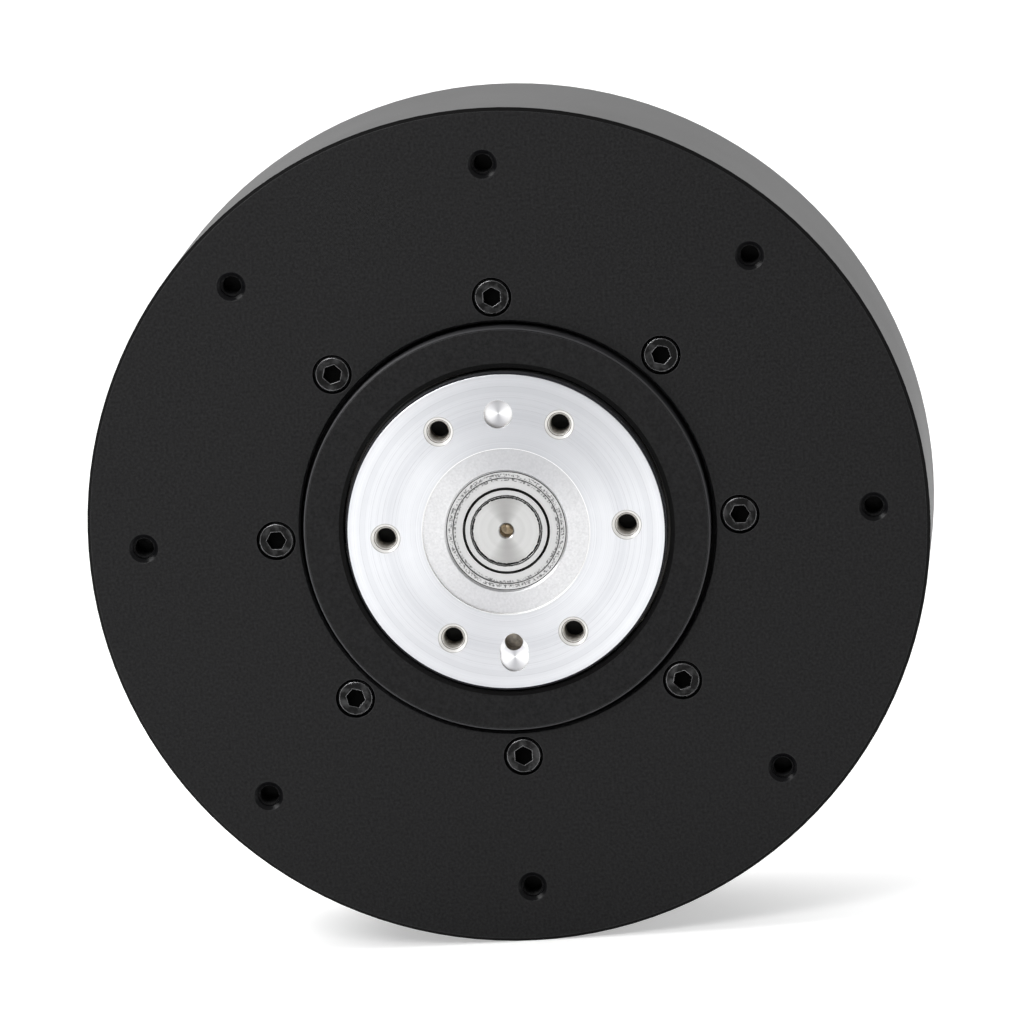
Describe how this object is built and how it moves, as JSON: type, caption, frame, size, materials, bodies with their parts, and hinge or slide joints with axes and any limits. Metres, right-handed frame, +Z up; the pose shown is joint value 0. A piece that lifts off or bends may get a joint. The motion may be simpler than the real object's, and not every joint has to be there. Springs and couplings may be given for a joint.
{
  "type": "robot joint actuator",
  "caption": "Flat round brushless motor with a planetary gearbox inside it and a bare metal output flange in the front face; driver board behind.",
  "frame": {"origin": "on the output axis, in the front face of the housing plate", "axes": "-Y along the output axis, out of the output flange; +Z up; +X to the right seen from the front"},
  "size_m": [0.098, 0.0385, 0.098],
  "materials": {
    "black_anodised": "black anodised, fine satin grain",
    "plain_aluminium": "finely turned, bare",
    "carrier_steel": "machined",
    "gear_steel": "hardened and ground",
    "bearing_steel": "ground and polished",
    "shield_steel": "pressed sheet, satin",
    "black_screws": "black oxide",
    "spring_steel": "phosphated",
    "rotor_steel": "zinc plated",
    "magnet": "nickel plated",
    "laminations": "stacked sheet, matt",
    "copper": "enamelled wire",
    "bronze": "sintered bronze",
    "spacer_plastic": "natural nylon",
    "lead_insulation": "flexible sleeve",
    "circuit_board": "green solder mask",
    "chip_plastic": "moulded",
    "capacitor_body": "ceramic",
    "power_plastic": "moulded nylon",
    "signal_plastic": "moulded nylon",
    "contact_brass": "gold flashed"
  },
  "bodies": {
    "housing": {"front_housing": "black_anodised", "gearbox_housing": "black_anodised", "gearbox_screws": "black_screws", "ring_gear": "gear_steel", "main_bearing_outer_ring": "bearing_steel", "bearing_retaining_ring": "spring_steel", "stator_core": "laminations", "stator_windings": "copper", "phase_leads": "lead_insulation", "motor_rear_plate": "black_anodised", "rear_plate_screws": "black_screws", "rear_bearing_outer_ring": "bearing_steel", "rear_bearing_shields": "shield_steel", "board_standoffs": "contact_brass", "driver_board": "circuit_board", "board_screws": "black_screws", "encoder_chip": "chip_plastic", "controller_chip": "chip_plastic", "power_transistors": "chip_plastic", "bus_capacitors": "capacitor_body", "power_connector": "power_plastic", "power_pins": "contact_brass", "signal_socket_1": "signal_plastic", "signal_socket_2": "signal_plastic", "rear_cover": "black_anodised", "rear_cover_screws": "black_screws"},
    "output": {"output_flange": "plain_aluminium", "carrier_front_plate": "carrier_steel", "carrier_rear_plate": "carrier_steel", "carrier_screws": "black_screws", "planet_pins": "gear_steel", "main_bearing_inner_ring": "bearing_steel", "output_bearing_outer_ring": "bearing_steel", "output_bearing_shields": "shield_steel"},
    "rotor": {"sun_gear_shaft": "gear_steel", "rotor_hub": "plain_aluminium", "rotor_ring": "rotor_steel", "rotor_magnets": "magnet", "rotor_hub_screws": "black_screws", "encoder_magnet": "magnet", "output_bearing_inner_ring": "bearing_steel", "rear_bearing_inner_ring": "bearing_steel"},
    "planet_1": {"planet_gear_1": "gear_steel", "planet_bush_1": "bronze"},
    "planet_2": {"planet_gear_2": "gear_steel", "planet_bush_2": "bronze"},
    "planet_3": {"planet_gear_3": "gear_steel", "planet_bush_3": "bronze"},
    "main_rollers": {"main_bearing_rollers": "bearing_steel", "main_bearing_spacers": "spacer_plastic"},
    "output_balls": {"output_bearing_balls": "bearing_steel"},
    "rear_balls": {"rear_bearing_balls": "bearing_steel"}
  },
  "joints": [
    {"name": "rotor_spin", "type": "hinge", "parent": "housing", "child": "rotor", "pos_m": [0, 0, 0], "axis": [0, -1, 0], "continuous": true},
    {"name": "output_spin", "type": "hinge", "parent": "housing", "child": "output", "pos_m": [0, 0, 0], "axis": [0, -1, 0], "continuous": true},
    {"name": "planet_1_spin", "type": "hinge", "parent": "output", "child": "planet_1", "pos_m": [0.01169, 0.0119, 0.00675], "axis": [0, -1, 0], "continuous": true},
    {"name": "planet_2_spin", "type": "hinge", "parent": "output", "child": "planet_2", "pos_m": [-0.01169, 0.0119, 0.00675], "axis": [0, -1, 0], "continuous": true},
    {"name": "planet_3_spin", "type": "hinge", "parent": "output", "child": "planet_3", "pos_m": [0, 0.0119, -0.0135], "axis": [0, -1, 0], "continuous": true},
    {"name": "main_rollers_roll", "type": "hinge", "parent": "housing", "child": "main_rollers", "pos_m": [0, 0.0028, 0], "axis": [0, -1, 0], "continuous": true},
    {"name": "output_balls_roll", "type": "hinge", "parent": "output", "child": "output_balls", "pos_m": [0, -0.0003, 0], "axis": [0, -1, 0], "continuous": true},
    {"name": "rear_balls_roll", "type": "hinge", "parent": "housing", "child": "rear_balls", "pos_m": [0, 0.0246, 0], "axis": [0, -1, 0], "continuous": true}
  ],
  "couplings": [
    {"joint": "output_spin", "follows": "rotor_spin", "ratio": 0.16667},
    {"joint": "planet_1_spin", "follows": "rotor_spin", "ratio": -0.41667},
    {"joint": "planet_2_spin", "follows": "rotor_spin", "ratio": -0.41667},
    {"joint": "planet_3_spin", "follows": "rotor_spin", "ratio": -0.41667},
    {"joint": "main_rollers_roll", "follows": "rotor_spin", "ratio": 0.079055},
    {"joint": "output_balls_roll", "follows": "rotor_spin", "ratio": 0.35606},
    {"joint": "rear_balls_roll", "follows": "rotor_spin", "ratio": 0.42727}
  ]
}
